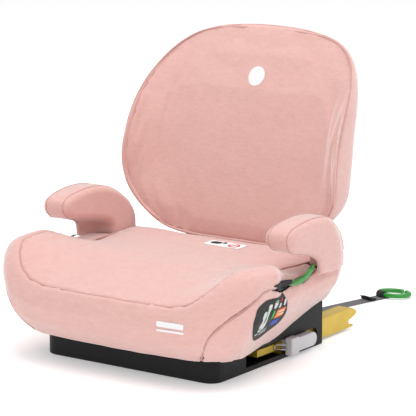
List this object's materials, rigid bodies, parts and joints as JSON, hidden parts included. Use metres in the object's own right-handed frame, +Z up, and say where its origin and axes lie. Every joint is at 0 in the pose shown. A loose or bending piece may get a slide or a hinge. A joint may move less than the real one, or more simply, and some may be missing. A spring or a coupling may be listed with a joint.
{
  "type": "child booster seat",
  "caption": "Padded booster seat with low armrests and a hinged backrest on a flat base, with sliding lower-anchor arms at the rear and a top tether strap.",
  "frame": {"origin": "middle of the flat underside of the base tray", "axes": "+Z up, -Y towards the child's knees (the front), +X towards the seated child's left; the two sides mirror each other apart from the strap"},
  "size_m": [0.474, 0.7193, 0.485],
  "materials": {
    "cover_fabric": "fine knitted polyester, pale rose",
    "black_plastic": "fine-grained black polypropylene",
    "green_plastic": "moulded green plastic",
    "grip_plastic": "moulded light grey plastic",
    "yellow_zinc": "yellow passivated zinc on steel",
    "steel": "bright zinc-plated steel",
    "webbing": "dark grey polyester webbing",
    "black_webbing": "black polyester webbing"
  },
  "bodies": {
    "seat": {"base_tray": "black_plastic", "tray_lid": "black_plastic", "lid_screw_1": "steel", "lid_screw_2": "steel", "lid_screw_3": "steel", "lid_screw_4": "steel", "guide_rail_left": "steel", "guide_rail_right": "steel", "detent_leaf_left": "steel", "detent_leaf_right": "steel", "strap_anchor": "black_plastic", "seat_shell": "black_plastic", "seat_cushion": "cover_fabric", "front_cover": "cover_fabric", "side_cover_left": "cover_fabric", "side_cover_right": "cover_fabric", "guide_trim_left": "black_plastic", "guide_trim_right": "black_plastic", "belt_guide_left": "green_plastic", "belt_guide_right": "green_plastic", "armrest_left": "cover_fabric", "armrest_right": "cover_fabric", "arm_core_left": "black_plastic", "arm_core_right": "black_plastic", "hinge_bracket_left": "black_plastic", "hinge_bracket_right": "black_plastic", "hinge_pin_left": "steel", "hinge_pin_right": "steel", "tether_strap": "webbing", "strap_slider": "black_plastic", "ring_hook": "green_plastic", "strap_loop": "black_webbing"},
    "carriage": {"anchor_arm_left": "yellow_zinc", "anchor_arm_right": "yellow_zinc", "cross_tube": "steel", "latch_pin_left": "steel", "latch_pin_right": "steel"},
    "release_left": {"release_grip_left": "grip_plastic", "release_wire_left": "steel"},
    "release_right": {"release_grip_right": "grip_plastic", "release_wire_right": "steel"},
    "latch_left": {"latch_hook_left": "steel"},
    "latch_right": {"latch_hook_right": "steel"},
    "backrest": {"back_shell": "black_plastic", "back_cushion": "cover_fabric", "back_cover": "cover_fabric", "hinge_leaf_left": "black_plastic", "hinge_leaf_right": "black_plastic"}
  },
  "joints": [
    {"name": "carriage_slide", "type": "slide", "parent": "seat", "child": "carriage", "axis": [0, 1, 0], "range_m": [-0.095, 0]},
    {"name": "release_left", "type": "slide", "parent": "carriage", "child": "release_left", "axis": [0, 1, 0], "range_m": [0, 0.008], "stiffness_N_per_m": 400, "springref_m": -0.001},
    {"name": "release_right", "type": "slide", "parent": "carriage", "child": "release_right", "axis": [0, 1, 0], "range_m": [0, 0.008], "stiffness_N_per_m": 400, "springref_m": -0.001},
    {"name": "latch_left", "type": "hinge", "parent": "carriage", "child": "latch_left", "pos_m": [0.14, 0.228, 0.0215], "axis": [1, 0, 0], "range_deg": [0, 35]},
    {"name": "latch_right", "type": "hinge", "parent": "carriage", "child": "latch_right", "pos_m": [-0.14, 0.228, 0.0215], "axis": [1, 0, 0], "range_deg": [0, 35]},
    {"name": "backrest_recline", "type": "hinge", "parent": "seat", "child": "backrest", "pos_m": [0, 0.1549, 0.128], "axis": [-1, 0, 0], "range_deg": [-2, 12]}
  ],
  "couplings": [
    {"joint": "latch_left", "follows": "release_left", "rad_per_m": 75},
    {"joint": "latch_right", "follows": "release_right", "rad_per_m": 75}
  ]
}
